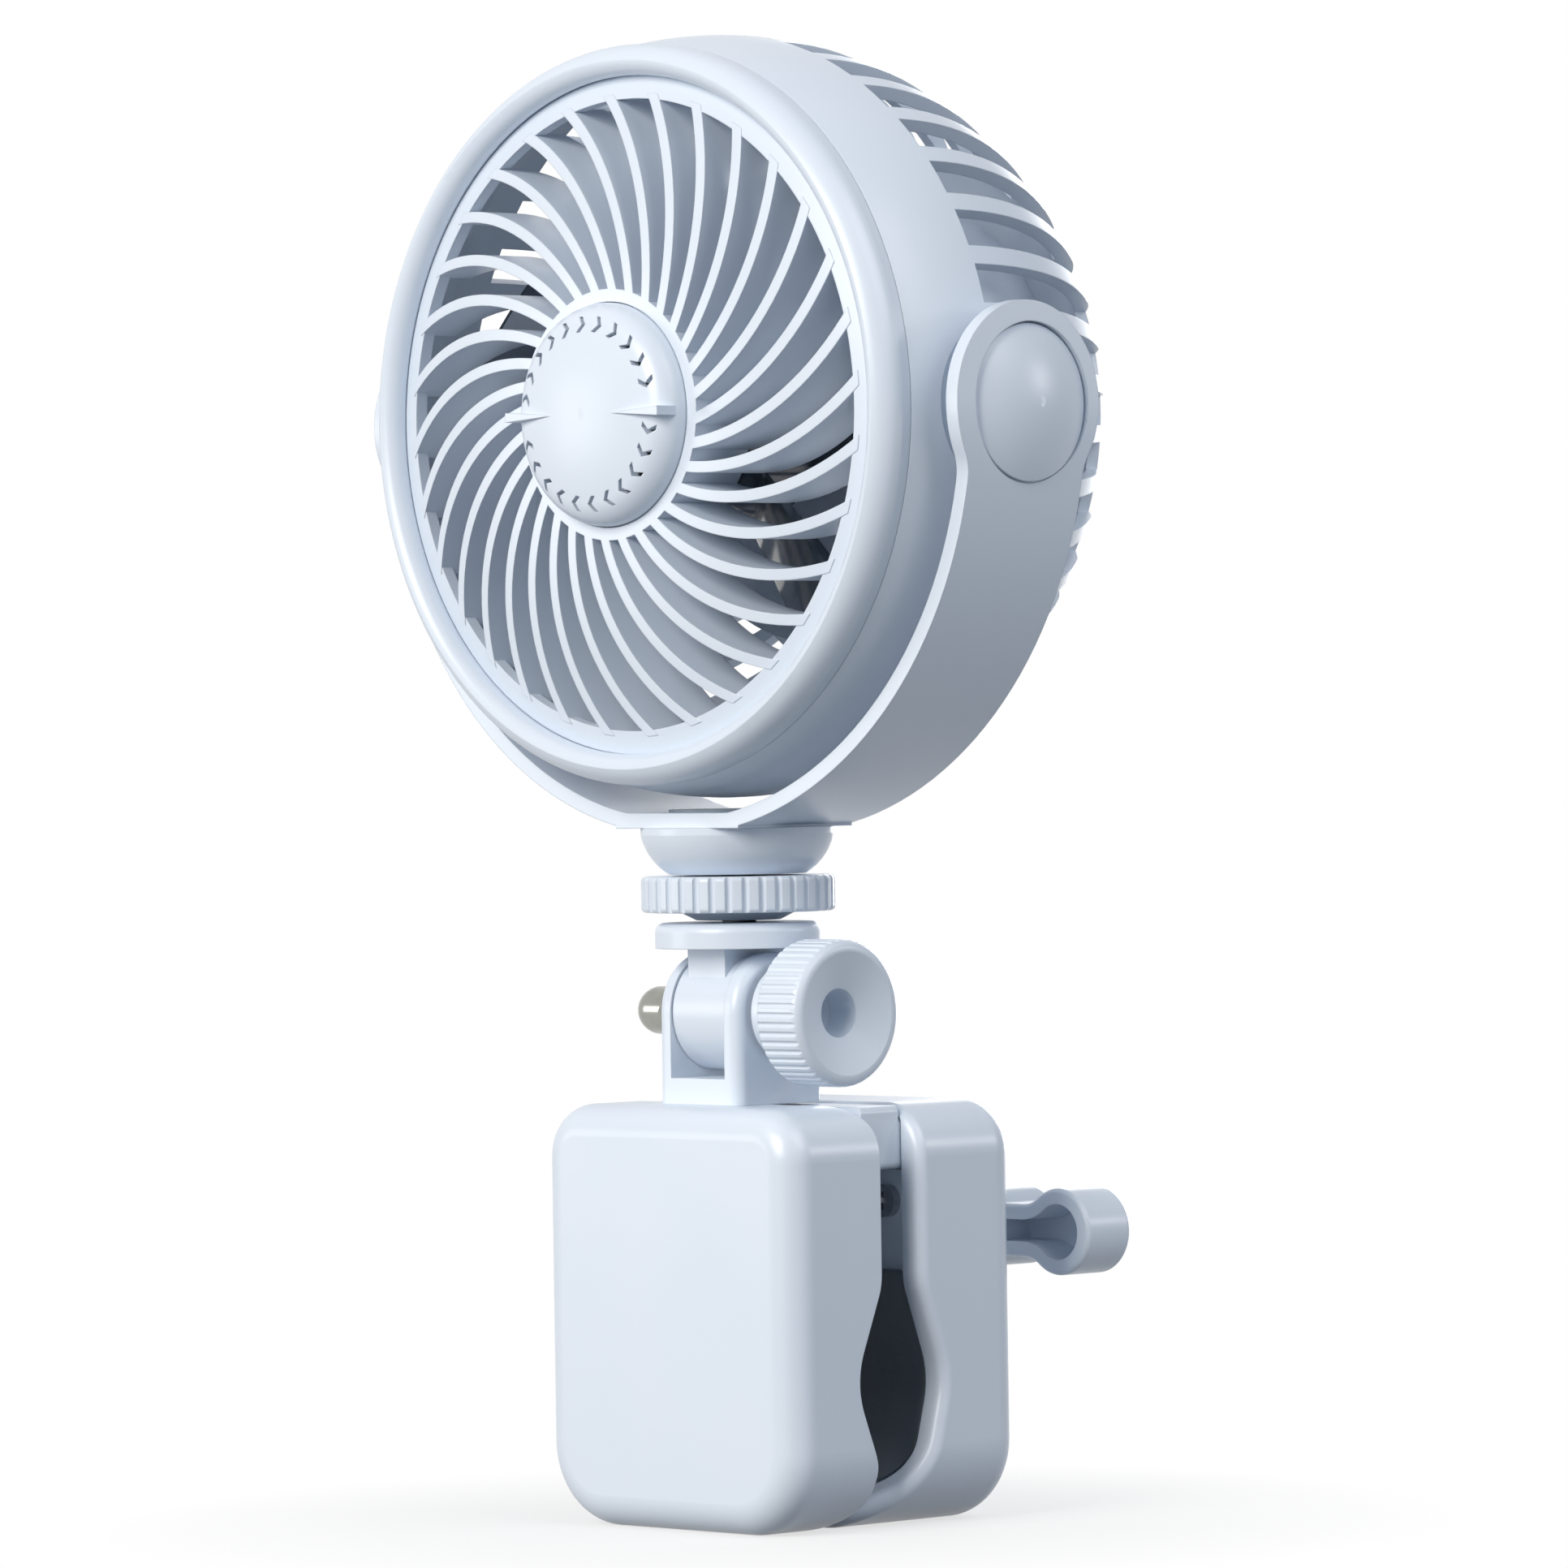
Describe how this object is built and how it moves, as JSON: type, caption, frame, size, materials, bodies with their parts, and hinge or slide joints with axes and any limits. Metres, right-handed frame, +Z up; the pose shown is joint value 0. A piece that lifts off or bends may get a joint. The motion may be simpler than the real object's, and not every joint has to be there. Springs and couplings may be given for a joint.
{
  "type": "stroller fan",
  "caption": "Clip-on stroller fan: round caged fan head in a U-shaped yoke, on a tilting neck with a hand knob and lock ring, above a two-jaw screw clamp with a wing handle.",
  "frame": {"origin": "axis of the clamped bar, half way along the jaws", "axes": "+X along the clamped bar, to the right seen from the front; -Y towards the front, the way the fan blows; +Z up"},
  "size_m": [0.1454, 0.1064, 0.2523],
  "materials": {
    "ice_blue_abs": "satin-gloss moulded plastic",
    "grey_disc": "matt sheet",
    "charcoal_rubber": "matt",
    "plated_nut": "bright plated",
    "zinc_steel": "zinc plated",
    "brass": "turned",
    "nylon": "natural",
    "smoke_polycarbonate": "clear smoky",
    "motor_steel": "drawn can",
    "cell_wrap": "shrink wrap",
    "board_laminate": "solder mask",
    "switch_plastic": "moulded",
    "lead_sleeve": "insulated wire"
  },
  "bodies": {
    "clamp_body": {"front_jaw_shell": "ice_blue_abs", "front_jaw_plate": "ice_blue_abs", "front_jaw_pad": "charcoal_rubber", "front_plate_screws": "zinc_steel", "guide_arm": "ice_blue_abs", "clevis": "ice_blue_abs", "clevis_screws": "zinc_steel", "dome_nut": "plated_nut"},
    "rear_jaw": {"rear_jaw_shell": "ice_blue_abs", "rear_jaw_plate": "ice_blue_abs", "rear_jaw_pad": "charcoal_rubber", "rear_plate_screws": "zinc_steel", "clamp_nut": "brass"},
    "clamp_drive": {"wing_handle": "ice_blue_abs", "clamp_screw": "zinc_steel", "thrust_ring": "zinc_steel", "handle_screw": "zinc_steel"},
    "knob": {"tilt_knob": "ice_blue_abs", "tilt_bolt": "zinc_steel", "knob_washer": "zinc_steel"},
    "tilt_head": {"tilt_plate": "ice_blue_abs", "mount_stud": "zinc_steel"},
    "ring": {"lock_ring": "ice_blue_abs"},
    "yoke_frame": {"yoke": "ice_blue_abs", "neck_cup": "ice_blue_abs", "neck_insert": "brass", "neck_screws": "zinc_steel", "yoke_cover": "grey_disc", "pivot_cap_left": "ice_blue_abs", "pivot_cap_right": "ice_blue_abs"},
    "head": {"front_bezel": "ice_blue_abs", "front_grille": "ice_blue_abs", "hub_cap": "ice_blue_abs", "rear_housing": "ice_blue_abs", "rear_cover": "ice_blue_abs", "cover_screws": "zinc_steel", "motor_can": "motor_steel", "motor_screws": "zinc_steel", "motor_leads": "lead_sleeve", "battery_cell": "cell_wrap", "battery_leads": "lead_sleeve", "control_board": "board_laminate", "usb_port": "zinc_steel", "tact_switch": "switch_plastic", "pivot_pins": "zinc_steel", "friction_washers": "nylon"},
    "rotor": {"impeller": "smoke_polycarbonate", "motor_shaft": "zinc_steel"},
    "button": {"speed_button": "ice_blue_abs"}
  },
  "joints": [
    {"name": "handle_turn", "type": "hinge", "parent": "clamp_body", "child": "clamp_drive", "pos_m": [0, 0.045, 0.0216], "axis": [0, 1, 0], "range_deg": [0, 1440]},
    {"name": "jaw_slide", "type": "slide", "parent": "clamp_body", "child": "rear_jaw", "axis": [0, 1, 0], "range_m": [0, 0.016]},
    {"name": "tilt_knob_turn", "type": "hinge", "parent": "clamp_body", "child": "knob", "pos_m": [0.02, -0.007, 0.0612], "axis": [1, 0, 0], "range_deg": [0, 720]},
    {"name": "stand_tilt", "type": "hinge", "parent": "clamp_body", "child": "tilt_head", "pos_m": [0, -0.007, 0.0612], "axis": [1, 0, 0], "range_deg": [-45, 80]},
    {"name": "lock_ring_turn", "type": "hinge", "parent": "tilt_head", "child": "ring", "pos_m": [0, -0.007, 0.081], "axis": [0, 0, 1], "range_deg": [0, 250]},
    {"name": "yoke_pan", "type": "hinge", "parent": "tilt_head", "child": "yoke_frame", "pos_m": [0, -0.007, 0.09], "axis": [0, 0, 1], "range_deg": [-180, 180]},
    {"name": "head_tilt", "type": "hinge", "parent": "yoke_frame", "child": "head", "pos_m": [0, -0.007, 0.162], "axis": [1, 0, 0], "range_deg": [-180, 180]},
    {"name": "fan_spin", "type": "hinge", "parent": "head", "child": "rotor", "pos_m": [0, -0.012, 0.162], "axis": [0, 1, 0], "continuous": true},
    {"name": "button_press", "type": "slide", "parent": "head", "child": "button", "axis": [0, -1, 0], "range_m": [0, 0.0008], "stiffness_N_per_m": 1500}
  ],
  "couplings": [
    {"joint": "handle_turn", "follows": "jaw_slide", "rad_per_m": 1570.8}
  ]
}
